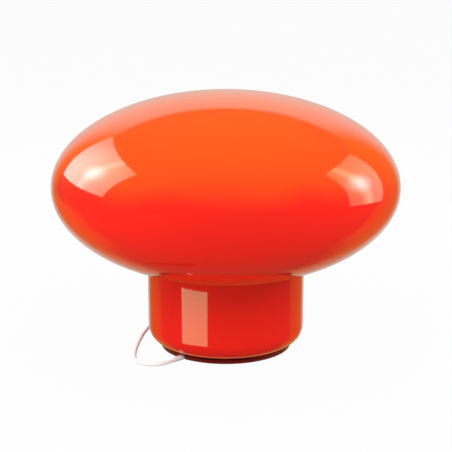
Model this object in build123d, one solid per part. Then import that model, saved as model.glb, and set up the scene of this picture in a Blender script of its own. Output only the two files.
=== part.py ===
from build123d import *
import os
from math import acos, atan2, ceil, cos, degrees, pi, radians, sin, sqrt, tan

# Mushroom floor lamp: a body of cased glass, shade and neck blown in one piece, that stands on a
# flat steel pan. A bracket in the pan carries a hollow stem with a lampholder and a bulb.
# Millimetres. The origin is on the floor under the middle of the pan, +Z is up, the front is -Y.

# Glass body
SHADE_R = 225.0  # widest circle of the shade
SHADE_HALF_H = 120.7  # half height of the shade's ellipse
NECK_R = 102.8
NECK_H = 102.4  # from the foot of the glass up to the line where neck and shade meet
NECK_ROUND_R = 22.9  # where the neck turns under to its foot
CREASE_R = 2.5  # hollow that joins neck and shade
GLASS_WALL = 4.0
MOUTH_R = 62.0  # hole in the turned-in foot
ELLIPSE_PARTS = 8  # stretches of two tangent arcs that make up the shade's ellipse

# Pan, from the floor up: felt, ballast, sheet steel, gasket
FELT_T = 1.2
BALLAST_T = 4.0
PAN_WALL = 0.8
GASKET_T = 0.5
PAN_R = 86.0
PAN_EDGE_R = 0.7  # rounding of the pan's outer edge
RIM_LIFT = 0.5  # the rim's lower edge stays clear of the floor
BALLAST_GAP = 1.0  # between ballast and rim
FELT_MARGIN = 1.5  # the felt is this much smaller than the ballast
GASKET_INNER_R = 66.0
GASKET_W = 10.0
HOLE_GAP = 0.1  # between a screw or rivet and its hole

# Flex, and the way it leaves the pan
CORD_D = 4.4
CORD_AZIMUTH = 41.0  # degrees from the front towards the left
CORD_GAP = 0.2  # between flex and what it passes through
NOTCH_W = 9.8
RELIEF_W = 9.0  # the strain relief is a flat taper, wider than it is high
RELIEF_H = 5.0
RELIEF_TIP_W = 5.8
RELIEF_TIP_H = 4.8
RELIEF_INNER_L = 8.0  # stretch of it inside the pan's rim
RELIEF_OUTER_L = 16.0
RELIEF_STRAIGHT = 2.0  # it keeps its full width this far past the rim
RELIEF_CORNER = 0.42  # rounding of its section, as a share of its height
PLATE_SLOT_OUTER = 60.0  # ends of the slot through which the flex rises, from the middle
PLATE_SLOT_INNER = 31.0
CLAMP_Y = 26.0  # the saddle clamp's distance from the middle
CLAMP_L = 8.0
CLAMP_SPAN = 18.0  # between its two screws
CLAMP_WALL = 2.2
CLAMP_FOOT_T = 2.8  # thickness of its two ears
CLAMP_EAR = 2.5  # ear beyond each screw
CLAMP_SCREW_R = 1.5
CLAMP_HEAD_R = 2.7
CLAMP_HEAD_H = 1.8
CLAMP_HEAD_SIDE = 1.0  # upright side of the head, below its slope
CLAMP_SLOT_W = 0.8
CLAMP_TAIL = 0.5  # the screw ends this far above the felt
SHEATH_END = 9.0  # where the sheath stops and the two cores go on

# Hat bracket
BRACKET_T = 1.5
BRACKET_H = 21.0
BRACKET_W = 26.0
BRACKET_INSIDE = 38.0
BRACKET_FOOT_L = 19.5
BRACKET_SCREW_R = 2.0
BRACKET_NUT_H = 3.2
BRACKET_NUT_AF = 7.0
SCREW_TAIL = 1.5  # length of screw that stands out of its nut
SCREW_BEVEL = 0.4

# Stem with its nuts
STEM_R = 5.0
STEM_BORE_R = 4.0
STEM_L = 77.0
STEM_NUT_H = 4.0
STEM_NUT_AF = 14.0
STEM_WASHER_T = 1.0
STEM_WASHER_R = 9.0
STEM_TAIL = 1.5  # length of stem below its lowest nut
STEM_BEVEL = 0.3
STEM_GAP = 0.1  # between stem and bracket
THREAD_GAP = 0.05

# Lampholder
HOLDER_R = 20.0
HOLDER_WALL = 2.2
HOLDER_BOSS_R = 9.0
HOLDER_BOSS_H = 5.0
HOLDER_FLOOR_T = 3.0
HOLDER_CORNER_R = 5.0
HOLDER_CAVITY_H = 17.0  # room for wires and terminals
HOLDER_LEDGE = 2.6  # width of the step that the ceramic insert rests on
INSERT_T = 9.0
INSERT_GAP = 0.2
INSERT_BEVEL = 0.5
SLEEVE_SPIGOT = 2.0  # the sleeve reaches this far into the cup
SLEEVE_H = 31.0  # visible height of the sleeve
GRIP_COUNT = 12  # flutes round the sleeve
GRIP_R = 0.9
GRIP_L = 14.0
GRIP_Z = 9.0  # their middle above the cup
TERMINAL_X = 10.0
TERMINAL_SIZE = 6.0
TERMINAL_H = 7.0
TERMINAL_SCREW_R = 1.6
SCREW_SHELL_T = 0.4
SCREW_SHELL_H = 27.0
SCREW_SHELL_FLANGE = 4.0  # width of the flange under the bulb
CONTACT_T = 0.5
CONTACT_W = 6.0
CONTACT_L = 13.0
CONTACT_RISE = 3.5  # the bulb's tip above the contact's lower leaf
CONTACT_FOLD = 1.5  # the upper leaf turns level here
CONTACT_INSET = 2.5  # its free end is this much shorter
CONTACT_PLAY = 0.1  # below the tip
WIRE_D = 2.0
WIRE_PITCH = 2.3
WIRE_BEND = 7.0  # radius where the cores turn up into the stem
WIRE_SPREAD_Z = 2.0  # above the cup's floor, where they part
WIRE_END_L = 3.5  # last straight stretch up into a terminal

# Bulb with a 27 mm screw cap
BULB_R = 30.0
BULB_L = 105.0
BULB_WALL = 0.8
BULB_NECK_R = 12.5
BULB_SHOULDER_R = 40.0  # hollow curve between the bulb's neck and its globe
CAP_R = 13.2
CAP_ROOT_R = 12.3
CAP_PITCH = 3.6
CAP_TURNS = 5
CAP_L = 27.0
CAP_T = 0.6
CAP_CLEARANCE = 0.4
TIP_R = 4.5
TIP_H = 0.8
TIP_INSULATOR_H = 3.0
TIP_INSULATOR_W = 1.0  # black ring round the tip
FILAMENT_D = 0.6
FILAMENT_SPAN = 22.0
FILAMENT_RISE = 2.0  # ends of the arch above the globe's middle
FILAMENT_ARCH = 5.0
FILAMENT_BEND_R = 1.0
SUPPORT_L = 3.0  # straight start of a support
SUPPORT_PITCH = 2.4  # between the two supports in the button
MOUNT_R = 2.2  # glass rod that carries the supports
MOUNT_FLARE_T = 1.2
MOUNT_FLARE_R = 4.0
MOUNT_FLARE_H = 9.0
MOUNT_ROD_Z = 14.0
MOUNT_BUTTON_R = 3.2
MOUNT_BUTTON_H = 1.0
MOUNT_DROP = 0.35  # its top below the globe's middle, as a share of the globe's radius

# Strips that centre the glass
CLIP_COUNT = 3
CLIP_FIRST = 45.0  # degrees from the stem's +X side
CLIP_T = 0.8
CLIP_W = 10.0
CLIP_FOOT_L = 15.0
CLIP_H = 14.0
CLIP_GAP = 0.8  # between strip and glass
CLIP_BEND = 0.6  # share of its height at which the strip starts to lean in
RIVET_R = 1.6
RIVET_HEAD_R = 3.0
RIVET_HEAD_H = 1.0
RIVET_SEAT = 1.0  # metal behind the rivet's head, at the foot's end

# In-line switch, its axis along X
SWITCH_X = -22.0
SWITCH_Y = 123.2
SWITCH_L = 60.0
SWITCH_W = 24.0
SWITCH_H = 17.0
SWITCH_SPLIT = 8.5
SWITCH_WALL = 1.8
SWITCH_ROUND_R = 6.0
SWITCH_CORD_Z = 6.0
SWITCH_LOW_R = 1.2  # rounding of its lower edge
SWITCH_TOP_R = 2.0
POST_WALL = 1.6  # round each screw
POST_TOP = 1.0  # the posts end this far below the cover's top
SCREW_HOLE_TOP = 2.5
SCREW_SINK = 1.2  # the heads sit this deep in the base
SCREW_HEAD_H = 1.0
SCREW_HEAD_Z = 0.2
SCREW_SHORT = 4.5  # the shanks are this much shorter than the switch is high
ROCKER_L = 18.0
ROCKER_W = 10.0
ROCKER_GAP = 0.5
ROCKER_RISE = 2.2  # height of its middle over the cover
ROCKER_DEPTH = 5.5
ROCKER_TILT = 8.0  # degrees either side of level
ROCKER_DISH = 1.0  # hollow of its top
ROCKER_FOOT_IN = 2.5
ROCKER_SIDE_IN = 0.4
ROCKER_TOP_IN = 0.6
PIVOT_R = 1.0
PIVOT_GAP = 0.08
PIVOT_DROP = 1.8  # the pin's axis below the cover's top
RIB_W = 2.0  # ribs that hold the pin
RIB_L = 6.0
RIB_LOW = 2.5  # below the pin's axis
RIB_TOP = 1.0  # below the cover's top
SWITCH_SCREW_R = 1.3
SWITCH_SCREW_X = 22.0
STRIP_W = 6.0  # brass contacts
STRIP_T = 0.8
STRIP_NEAR_X = 5.0
STRIP_FAR_X = 17.0
STRIP_POST_X = 15.0
STRIP_POST_L = 3.0
STRIP_POST_H = 5.0

# Coil of the flex that isn't in use
COIL_X = 58.0
COIL_Y = 160.0
COIL_INNER_R = 16.4
COIL_TURNS = 4  # in each of its two layers
COIL_GAP = 0.6  # between neighbouring turns
LINK_LEAD = 14.0  # straight stretches of flex out of the switch and into the coil
TAIL_LEAD = 22.0  # out of the coil
TAIL_BEND_Y = 194.0
ENTRY_LEAD = 20.0  # into the switch and the plug
RUN_LEAD = 16.0  # out of the strain relief

# Plug
PLUG_X = -52.0  # face where the flex enters
PLUG_Y = 190.0
PLUG_L = 35.0
PLUG_W = 25.0
PLUG_WAIST = 16.0
PLUG_T = 14.0
PLUG_SIDE_R = 3.0  # rounding of its upright edges
PLUG_FLAT_R = 1.5
PLUG_WAIST_L = 0.45  # where it starts to widen, as a share of its length
PLUG_FACE_L = 0.25  # its widest stretch
PLUG_BOOT_L = 20.0
PLUG_BOOT_D = 9.0
PLUG_BOOT_TIP_D = 6.0
PIN_R = 2.0
PIN_L = 19.0
PIN_SPACING = 18.6
PIN_ROOT_R = 1.6  # the thinner root that the body is moulded round
PIN_ROOT_L = 8.0  # length of root inside the body
PIN_ROOT_OUT = 0.5  # length of root that shows
PIN_BEVEL = 0.8

# Heights and places that follow from the sizes above
BALLAST_Z = FELT_T
PLATE_UNDER_Z = FELT_T + BALLAST_T
PLATE_Z = PLATE_UNDER_Z + PAN_WALL
GLASS_Z = PLATE_Z + GASKET_T
CREASE_Z = GLASS_Z + NECK_H
SHADE_MID_Z = CREASE_Z + SHADE_HALF_H * sqrt(1 - (NECK_R / SHADE_R) ** 2)
BALLAST_R = PAN_R - PAN_WALL - BALLAST_GAP
BRACKET_TOP_Z = PLATE_Z + BRACKET_H
STEM_Z = BRACKET_TOP_Z - BRACKET_T - STEM_NUT_H - STEM_TAIL
STEM_TOP_Z = STEM_Z + STEM_L
CUP_FLOOR_Z = STEM_TOP_Z
CUP_Z = CUP_FLOOR_Z - HOLDER_FLOOR_T
BOSS_Z = CUP_Z - HOLDER_BOSS_H
LEDGE_Z = CUP_FLOOR_Z + HOLDER_CAVITY_H
INSERT_TOP_Z = LEDGE_Z + INSERT_T
CUP_TOP_Z = INSERT_TOP_Z + SLEEVE_SPIGOT
CUP_BORE_R = HOLDER_R - HOLDER_WALL
SCREW_SHELL_BORE_R = CAP_R + CAP_CLEARANCE
TIP_Z = INSERT_TOP_Z + CONTACT_T + CONTACT_RISE
BULB_MID_Z = TIP_Z + BULB_L - BULB_R
CORD_Z = CORD_D / 2
RELIEF_Z = RELIEF_H / 2
INNER_CORD_Z = PLATE_Z + CORD_D / 2 + CORD_GAP
PIVOT_Z = SWITCH_H - PIVOT_DROP
COIL_PITCH = CORD_D + COIL_GAP


def aimed(shape):
    """Turns a shape made with the flex leaving towards -Y so that it leaves at its real azimuth."""
    return Rot(0, 0, -CORD_AZIMUTH) * shape


def aimed_point(x, y, z):
    turn = radians(-CORD_AZIMUTH)
    return (x * cos(turn) - y * sin(turn), x * sin(turn) + y * cos(turn), z)


def turned(*edges):
    """Solid of revolution of a closed outline drawn in the XZ plane."""
    return revolve(make_face(Curve() + list(edges)), axis=Axis.Z)


def rings(*corners):
    """Solid of revolution of a straight-sided outline of (radius, height) corners."""
    return turned(Polyline(*[(r, 0, z) for r, z in corners], close=True))


def ring(inner_r, outer_r, z, height):
    return rings((inner_r, z), (outer_r, z), (outer_r, z + height), (inner_r, z + height))


def disc(radius, z, height):
    return Pos(0, 0, z + height / 2) * Cylinder(radius, height)


def group(shapes):
    """Separate solids that share one node, each already in its place."""
    return Compound([shape.solid() for shape in shapes])


def block(x0, x1, y0, y1, z0, z1):
    return Pos((x0 + x1) / 2, (y0 + y1) / 2, (z0 + z1) / 2) * Box(x1 - x0, y1 - y0, z1 - z0)


def hex_nut(across_flats, hole_r, z, height):
    shape = RegularPolygon(across_flats / 2, 6, major_radius=False) - Circle(hole_r)
    return Pos(0, 0, z) * extrude(shape, height)


def round_bar(start, end, radius):
    line = Line(start, end)
    return sweep(Plane(origin=line @ 0, z_dir=line % 0) * Circle(radius), path=line)


# Routes and tubes


def corner_radii(points):
    """Each arc is as large as its two runs allow, with a little straight left between arcs."""
    points = [Vector(*p) for p in points]
    radii = []
    for before, here, after in zip(points, points[1:], points[2:]):
        half_turn = radians((here - before).get_angle(after - here)) / 2
        shorter = min((here - before).length, (after - here).length)
        radii.append(0.45 * shorter / tan(half_turn))
    return radii


def tube(name, path, diameter):
    section = Plane(origin=path @ 0, z_dir=path % 0) * Circle(diameter / 2)
    solid = sweep(section, path=path)
    expected = path.length * pi * diameter**2 / 4
    print(f"{name}: length {path.length:.1f}, volume against section {solid.volume / expected:.4f}")
    return solid


def routed_tube(name, points, diameter, radii=None):
    radii = radii or corner_radii(points)
    print(f"{name}: radii " + ", ".join(f"{r:.0f}" for r in radii))
    return tube(name, FilletPolyline(*points, radius=radii), diameter)


# Glass


def biarc(start, start_dir, end, end_dir):
    """Two arcs that meet tangentially and join two places with their headings."""
    across = end - start
    dirs = start_dir + end_dir
    spread = 2 * (1 - start_dir.dot(end_dir))
    along = across.dot(dirs)
    reach = (sqrt(along**2 + spread * across.dot(across)) - along) / spread
    middle = (start + start_dir * reach + end - end_dir * reach) * 0.5
    first = TangentArc(start, middle, tangent=start_dir)
    second = TangentArc(middle, end, tangent=first % 1)
    return first, second


def ellipse_station(half_w, half_h, angle):
    """Place on the shade's ellipse, and the heading there on the way up."""
    place = Vector(half_w * cos(angle), SHADE_MID_Z + half_h * sin(angle))
    heading = Vector(-half_w * sin(angle), half_h * cos(angle))
    return place, heading.normalized()


def glass_skin(inset):
    """Outline from the foot to the top of the shade, as (radius, height), inset from the outside.
    It returns its two ends and its edges: turned-under arc, neck, ellipse in tangent arcs."""
    round_x = NECK_R - NECK_ROUND_R
    round_z = GLASS_Z + NECK_ROUND_R
    arc_r = NECK_ROUND_R - inset
    neck = NECK_R - inset
    half_w = SHADE_R - inset
    half_h = SHADE_HALF_H - inset
    start = -acos(neck / half_w)
    steps = [start + (pi / 2 - start) * i / ELLIPSE_PARTS for i in range(ELLIPSE_PARTS)]
    stations = [ellipse_station(half_w, half_h, angle) for angle in steps]
    top = Vector(0, SHADE_MID_Z + half_h)
    stations.append((top, Vector(-1, 0)))
    foot = (round_x, round_z - arc_r)
    halfway = (round_x + arc_r * sin(pi / 4), round_z - arc_r * cos(pi / 4))
    edges = [ThreePointArc(foot, halfway, (neck, round_z)), Line((neck, round_z), stations[0][0])]
    for (p0, t0), (p1, t1) in zip(stations, stations[1:]):
        edges.extend(biarc(p0, t0, p1, t1))
    return foot, top, edges


def glass_shade():
    """One blown wall: in-turned foot with a melted edge, neck, hollow and shade."""
    outer_foot, outer_top, outer = glass_skin(0)
    inner_foot, inner_top, inner = glass_skin(GLASS_WALL)
    lip_x = MOUTH_R + GLASS_WALL / 2
    low = (lip_x, GLASS_Z)
    high = (lip_x, GLASS_Z + GLASS_WALL)
    lip = ThreePointArc(high, (MOUTH_R, GLASS_Z + GLASS_WALL / 2), low)
    ends = [lip, Line(low, outer_foot), Line(outer_top, inner_top), Line(inner_foot, high)]
    wall = make_face(Curve() + outer + inner + ends)
    hollow = min(wall.vertices(), key=lambda v: abs(v.X - NECK_R) + abs(v.Y - CREASE_Z))
    wall = fillet(hollow, CREASE_R)
    return revolve(Rot(90, 0, 0) * wall, axis=Axis.Z)


def shade_gasket():
    return ring(GASKET_INNER_R, GASKET_INNER_R + GASKET_W, PLATE_Z, GASKET_T)


# Pan


def cord_channel(z0, z1, inner, outer):
    """Straight channel with a rounded inner end, along which the flex runs outwards."""
    half = NOTCH_W / 2
    channel = block(-half, half, -outer, -inner - half, z0, z1)
    return channel + Pos(0, -inner - half, (z0 + z1) / 2) * Cylinder(half, z1 - z0)


def pillars(spots, radius, z0, z1):
    return [Pos(x, y, (z0 + z1) / 2) * Cylinder(radius, z1 - z0) for x, y in spots]


def through_holes(spots, radius, z0, z1):
    """Cutters that run past both faces."""
    return pillars(spots, radius, z0 - 1, z1 + 1)


def bracket_spots():
    x = BRACKET_INSIDE / 2 + BRACKET_T + BRACKET_FOOT_L / 2
    return [(-x, 0), (x, 0)]


def clamp_spots():
    return [(-CLAMP_SPAN / 2, -CLAMP_Y), (CLAMP_SPAN / 2, -CLAMP_Y)]


def clip_angles():
    return [CLIP_FIRST + i * 360 / CLIP_COUNT for i in range(CLIP_COUNT)]


def clip_outer_r():
    """The strip's flat face stays clear of the round mouth at its two edges as well."""
    return sqrt((MOUTH_R - CLIP_GAP) ** 2 - (CLIP_W / 2) ** 2)


def rivet_r():
    return clip_outer_r() - CLIP_FOOT_L + RIVET_HEAD_R + RIVET_SEAT


def rivet_spots():
    return [(rivet_r() * cos(radians(a)), rivet_r() * sin(radians(a))) for a in clip_angles()]


def base_disc():
    inner_r = PAN_R - PAN_WALL
    body = rings(
        (0, PLATE_UNDER_Z),
        (inner_r, PLATE_UNDER_Z),
        (inner_r, RIM_LIFT),
        (PAN_R, RIM_LIFT),
        (PAN_R, PLATE_Z),
        (0, PLATE_Z),
    )
    edge = [e for e in body.edges().filter_by(GeomType.CIRCLE) if e.center().Z > PLATE_Z - 0.01]
    body = fillet(edge, min(PAN_EDGE_R, PAN_WALL * 0.95))
    half = NOTCH_W / 2
    body -= block(-half, half, -PAN_R - 1, -inner_r + 1, 0, PLATE_UNDER_Z)
    body -= cord_channel(PLATE_UNDER_Z, PLATE_Z, PLATE_SLOT_INNER, PLATE_SLOT_OUTER)
    body -= through_holes(bracket_spots(), BRACKET_SCREW_R + HOLE_GAP, PLATE_UNDER_Z, PLATE_Z)
    body -= through_holes(clamp_spots(), CLAMP_SCREW_R + HOLE_GAP, PLATE_UNDER_Z, PLATE_Z)
    body -= through_holes(rivet_spots(), RIVET_R + HOLE_GAP, PLATE_UNDER_Z, PLATE_Z)
    return aimed(body)


def countersink(spots):
    """Cones for flat screw heads, their wide end down on the felt."""
    depth = BRACKET_SCREW_R
    cones = []
    for x, y in spots:
        cone = Cone(2 * BRACKET_SCREW_R + HOLE_GAP, BRACKET_SCREW_R + HOLE_GAP, depth)
        cones.append(Pos(x, y, BALLAST_Z + depth / 2) * cone)
    return cones


def ballast_plate():
    body = disc(BALLAST_R, BALLAST_Z, BALLAST_T)
    body -= cord_channel(BALLAST_Z, PLATE_UNDER_Z, PLATE_SLOT_INNER, PAN_R)
    body -= through_holes(bracket_spots(), BRACKET_SCREW_R + HOLE_GAP, BALLAST_Z, PLATE_UNDER_Z)
    body -= countersink(bracket_spots())
    body -= through_holes(clamp_spots(), CLAMP_SCREW_R + HOLE_GAP, BALLAST_Z, PLATE_UNDER_Z)
    body -= through_holes(rivet_spots(), RIVET_HEAD_R, BALLAST_Z, PLATE_UNDER_Z)
    return aimed(body)


def felt_pad():
    body = disc(BALLAST_R - FELT_MARGIN, 0, FELT_T)
    return aimed(body - cord_channel(0, FELT_T, PLATE_SLOT_INNER, PAN_R))


def glass_clips():
    """Strips folded up from a riveted foot. Their tops lean in a little, so the glass finds its way."""
    outer = clip_outer_r()
    lean = CLIP_H / 6
    side = [
        (outer - CLIP_FOOT_L, PLATE_Z),
        (outer, PLATE_Z),
        (outer, PLATE_Z + CLIP_H * CLIP_BEND),
        (outer - lean, PLATE_Z + CLIP_H),
        (outer - lean - CLIP_T, PLATE_Z + CLIP_H),
        (outer - CLIP_T, PLATE_Z + CLIP_H * CLIP_BEND),
        (outer - CLIP_T, PLATE_Z + CLIP_T),
        (outer - CLIP_FOOT_L, PLATE_Z + CLIP_T),
    ]
    outline = make_face(Polyline(*[(x, 0, z) for x, z in side], close=True))
    strip = extrude(outline, CLIP_W / 2, both=True)
    strip -= Pos(rivet_r(), 0, PLATE_Z) * Cylinder(RIVET_R + HOLE_GAP, 4 * CLIP_T)
    return group(aimed(Rot(0, 0, a) * strip) for a in clip_angles())


def clip_rivets():
    shank_top = PLATE_Z + CLIP_T
    profile = [
        (0, PLATE_UNDER_Z - RIVET_HEAD_H),
        (RIVET_HEAD_R - 0.2, PLATE_UNDER_Z - RIVET_HEAD_H),
        (RIVET_HEAD_R - 0.2, PLATE_UNDER_Z),
        (RIVET_R, PLATE_UNDER_Z),
        (RIVET_R, shank_top),
        (RIVET_HEAD_R, shank_top),
        (RIVET_HEAD_R * 0.6, shank_top + RIVET_HEAD_H),
        (0, shank_top + RIVET_HEAD_H),
    ]
    rivet = rings(*profile)
    return group(aimed(Pos(x, y, 0) * rivet) for x, y in rivet_spots())


# Bracket and stem


def holder_bracket():
    half = BRACKET_INSIDE / 2
    foot = half + BRACKET_T + BRACKET_FOOT_L
    low = PLATE_Z
    top = BRACKET_TOP_Z
    side = [
        (-foot, low),
        (-half, low),
        (-half, top - BRACKET_T),
        (half, top - BRACKET_T),
        (half, low),
        (foot, low),
        (foot, low + BRACKET_T),
        (half + BRACKET_T, low + BRACKET_T),
        (half + BRACKET_T, top),
        (-half - BRACKET_T, top),
        (-half - BRACKET_T, low + BRACKET_T),
        (-foot, low + BRACKET_T),
    ]
    outline = make_face(Polyline(*[(x, 0, z) for x, z in side], close=True))
    body = extrude(outline, BRACKET_W / 2, both=True)
    bends = [e for e in body.edges().filter_by(Axis.Y) if abs(e.center().X) > half - 0.1]
    bends = [e for e in bends if e.center().Z > top - 0.1]
    body = fillet(bends, BRACKET_T * 0.9)
    body -= through_holes([(0, 0)], STEM_R + STEM_GAP, top - 2 * BRACKET_T, top + BRACKET_T)
    body -= through_holes(bracket_spots(), BRACKET_SCREW_R + HOLE_GAP, low, low + BRACKET_T)
    return aimed(body)


def bracket_screws():
    """Flat heads sunk in the ballast, tips just above their nuts."""
    head = BRACKET_SCREW_R
    tip = PLATE_Z + BRACKET_T + BRACKET_NUT_H + SCREW_TAIL
    screw = rings(
        (0, BALLAST_Z),
        (2 * BRACKET_SCREW_R, BALLAST_Z),
        (BRACKET_SCREW_R, BALLAST_Z + head),
        (BRACKET_SCREW_R, tip - SCREW_BEVEL),
        (BRACKET_SCREW_R - SCREW_BEVEL, tip),
        (0, tip),
    )
    slot_w = BRACKET_SCREW_R * 0.5
    screw -= block(-5, 5, -slot_w / 2, slot_w / 2, BALLAST_Z, BALLAST_Z + slot_w)
    return group(aimed(Pos(x, y, 0) * screw) for x, y in bracket_spots())


def bracket_nuts():
    hole = BRACKET_SCREW_R + THREAD_GAP
    nut = hex_nut(BRACKET_NUT_AF, hole, PLATE_Z + BRACKET_T, BRACKET_NUT_H)
    return group(aimed(Pos(x, y, 0) * nut) for x, y in bracket_spots())


def stem_tube():
    tube_body = ring(STEM_BORE_R, STEM_R, STEM_Z, STEM_L)
    return chamfer(tube_body.edges().filter_by(GeomType.CIRCLE), STEM_BEVEL)


def stem_nuts():
    """One under the bracket, one over it, and one that locks the lampholder."""
    hole = STEM_R + THREAD_GAP
    under = BRACKET_TOP_Z - BRACKET_T - STEM_NUT_H
    over = BRACKET_TOP_Z + STEM_WASHER_T
    lock = BOSS_Z - STEM_WASHER_T - STEM_NUT_H
    return group(aimed(hex_nut(STEM_NUT_AF, hole, z, STEM_NUT_H)) for z in (under, over, lock))


def stem_washers():
    hole = STEM_R + THREAD_GAP
    heights = (BRACKET_TOP_Z, BOSS_Z - STEM_WASHER_T)
    return group(ring(hole, STEM_WASHER_R, z, STEM_WASHER_T) for z in heights)


# Flex inside the lamp


def cord_clamp():
    """Saddle over the flex, flat on the pan."""
    half_w = CLAMP_SPAN / 2 + CLAMP_SCREW_R + CLAMP_EAR
    y0 = -CLAMP_Y - CLAMP_L / 2
    y1 = -CLAMP_Y + CLAMP_L / 2
    bore_r = CORD_D / 2 + CORD_GAP / 2
    crown = INNER_CORD_Z + bore_r + CLAMP_WALL
    body = block(-half_w, half_w, y0, y1, PLATE_Z, PLATE_Z + CLAMP_FOOT_T)
    body += block(-bore_r - CLAMP_WALL, bore_r + CLAMP_WALL, y0, y1, PLATE_Z, crown)
    top = [e for e in body.edges().filter_by(Axis.Y) if e.center().Z > crown - 0.1]
    body = fillet(top, CLAMP_WALL * 0.8)
    body -= block(-bore_r, bore_r, y0, y1, PLATE_Z, INNER_CORD_Z)
    body -= Pos(0, -CLAMP_Y, INNER_CORD_Z) * Rot(90, 0, 0) * Cylinder(bore_r, 2 * CLAMP_L)
    body -= through_holes(clamp_spots(), CLAMP_SCREW_R + HOLE_GAP, PLATE_Z, crown)
    return aimed(body)


def clamp_screws():
    seat = PLATE_Z + CLAMP_FOOT_T
    side_top = seat + CLAMP_HEAD_SIDE
    top = seat + CLAMP_HEAD_H
    slot_half = CLAMP_SLOT_W / 2
    screw = rings(
        (0, BALLAST_Z + CLAMP_TAIL),
        (CLAMP_SCREW_R, BALLAST_Z + CLAMP_TAIL),
        (CLAMP_SCREW_R, seat),
        (CLAMP_HEAD_R, seat),
        (CLAMP_HEAD_R, side_top),
        (CLAMP_HEAD_R - CLAMP_SLOT_W, top),
        (0, top),
    )
    screw -= block(-CLAMP_HEAD_R, CLAMP_HEAD_R, -slot_half, slot_half, side_top, top + 1)
    return group(aimed(Pos(x, y, 0) * screw) for x, y in clamp_spots())


def inner_cord():
    """Sheathed flex from the strain relief, up through the pan's slot and under the clamp."""
    rise = PLATE_SLOT_OUTER - PLATE_SLOT_INNER - NOTCH_W / 2
    points = [
        (0, -PAN_R + RELIEF_INNER_L, RELIEF_Z),
        (0, -PLATE_SLOT_OUTER + 2.0, RELIEF_Z),
        (0, -PLATE_SLOT_OUTER + rise, INNER_CORD_Z),
        (0, -SHEATH_END, INNER_CORD_Z),
    ]
    return aimed(routed_tube("inner_cord", points, CORD_D))


def wire(name, side):
    """Core from the end of the sheath up the stem to its terminal."""
    near = side * WIRE_PITCH / 2
    far = side * TERMINAL_X
    level = INNER_CORD_Z
    top = LEDGE_Z - TERMINAL_H
    points = [
        (near, -SHEATH_END, level),
        (near, 0, level),
        (near, 0, CUP_FLOOR_Z + WIRE_SPREAD_Z),
        (far, 0, top - WIRE_END_L),
        (far, 0, top),
    ]
    bends = [WIRE_BEND, WIRE_BEND / 2, WIRE_BEND / 2]
    return aimed(routed_tube(name, points, WIRE_D, bends))


def wire_live():
    return wire("wire_live", -1)


def wire_neutral():
    return wire("wire_neutral", 1)


# Lampholder


def holder_cap():
    """Cup with a threaded boss, a floor, and a ledge for the insert."""
    ledge_r = CUP_BORE_R - HOLDER_LEDGE
    body = rings(
        (STEM_R + THREAD_GAP, BOSS_Z),
        (HOLDER_BOSS_R, BOSS_Z),
        (HOLDER_BOSS_R, CUP_Z),
        (HOLDER_R, CUP_Z),
        (HOLDER_R, CUP_TOP_Z),
        (CUP_BORE_R, CUP_TOP_Z),
        (CUP_BORE_R, LEDGE_Z),
        (ledge_r, LEDGE_Z),
        (ledge_r, CUP_FLOOR_Z),
        (STEM_R + THREAD_GAP, CUP_FLOOR_Z),
    )
    corner = [e for e in body.edges().filter_by(GeomType.CIRCLE) if abs(e.radius - HOLDER_R) < 0.01]
    corner = min(corner, key=lambda e: e.center().Z)
    return fillet(corner, HOLDER_CORNER_R)


def holder_insert():
    """Ceramic disc with two wells for the terminals' screws."""
    body = disc(CUP_BORE_R - INSERT_GAP, LEDGE_Z, INSERT_T)
    body -= through_holes(
        [(-TERMINAL_X, 0), (TERMINAL_X, 0)], TERMINAL_SCREW_R, LEDGE_Z, INSERT_TOP_Z
    )
    top = body.edges().filter_by(GeomType.CIRCLE).group_by(Axis.Z)[-1]
    outer = [e for e in top if e.radius > TERMINAL_X]
    return aimed(chamfer(outer, INSERT_BEVEL))


def holder_shell():
    """Sleeve that screws into the cup and hides the screw shell."""
    bore = SCREW_SHELL_BORE_R + SCREW_SHELL_T
    body = rings(
        (bore, INSERT_TOP_Z),
        (CUP_BORE_R - INSERT_GAP, INSERT_TOP_Z),
        (CUP_BORE_R - INSERT_GAP, CUP_TOP_Z),
        (HOLDER_R, CUP_TOP_Z),
        (HOLDER_R, CUP_TOP_Z + SLEEVE_H),
        (bore, CUP_TOP_Z + SLEEVE_H),
    )
    rim = body.edges().filter_by(GeomType.CIRCLE).group_by(Axis.Z)[-1]
    outer = [e for e in rim if abs(e.radius - HOLDER_R) < 0.01]
    body = fillet(outer, HOLDER_WALL)
    grips = []
    for i in range(GRIP_COUNT):
        angle = 2 * pi * i / GRIP_COUNT
        x = HOLDER_R * cos(angle)
        y = HOLDER_R * sin(angle)
        grips.append(Pos(x, y, CUP_TOP_Z + GRIP_Z) * Cylinder(GRIP_R, GRIP_L))
    return body - grips


def screw_shell():
    """Thin brass tube with a flange that rests on the insert."""
    bore = SCREW_SHELL_BORE_R
    wall = SCREW_SHELL_T
    return rings(
        (bore - SCREW_SHELL_FLANGE, INSERT_TOP_Z),
        (bore + wall, INSERT_TOP_Z),
        (bore + wall, INSERT_TOP_Z + SCREW_SHELL_H),
        (bore, INSERT_TOP_Z + SCREW_SHELL_H),
        (bore, INSERT_TOP_Z + wall),
        (bore - SCREW_SHELL_FLANGE, INSERT_TOP_Z + wall),
    )


def centre_contact():
    """Leaf folded back over itself, its free end just under the bulb's tip."""
    half = CONTACT_L / 2
    z = INSERT_TOP_Z
    leaf = TIP_Z - CONTACT_T - CONTACT_PLAY
    free = half - CONTACT_INSET
    side = [
        (-half, z),
        (half, z),
        (half, z + CONTACT_T),
        (-half + 2, z + CONTACT_T),
        (-CONTACT_FOLD, leaf),
        (free, leaf),
        (free, leaf + CONTACT_T),
        (-CONTACT_FOLD, leaf + CONTACT_T),
        (-half, z + 2 * CONTACT_T),
    ]
    outline = make_face(Polyline(*[(x, 0, h) for x, h in side], close=True))
    return aimed(extrude(outline, CONTACT_W / 2, both=True))


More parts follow.
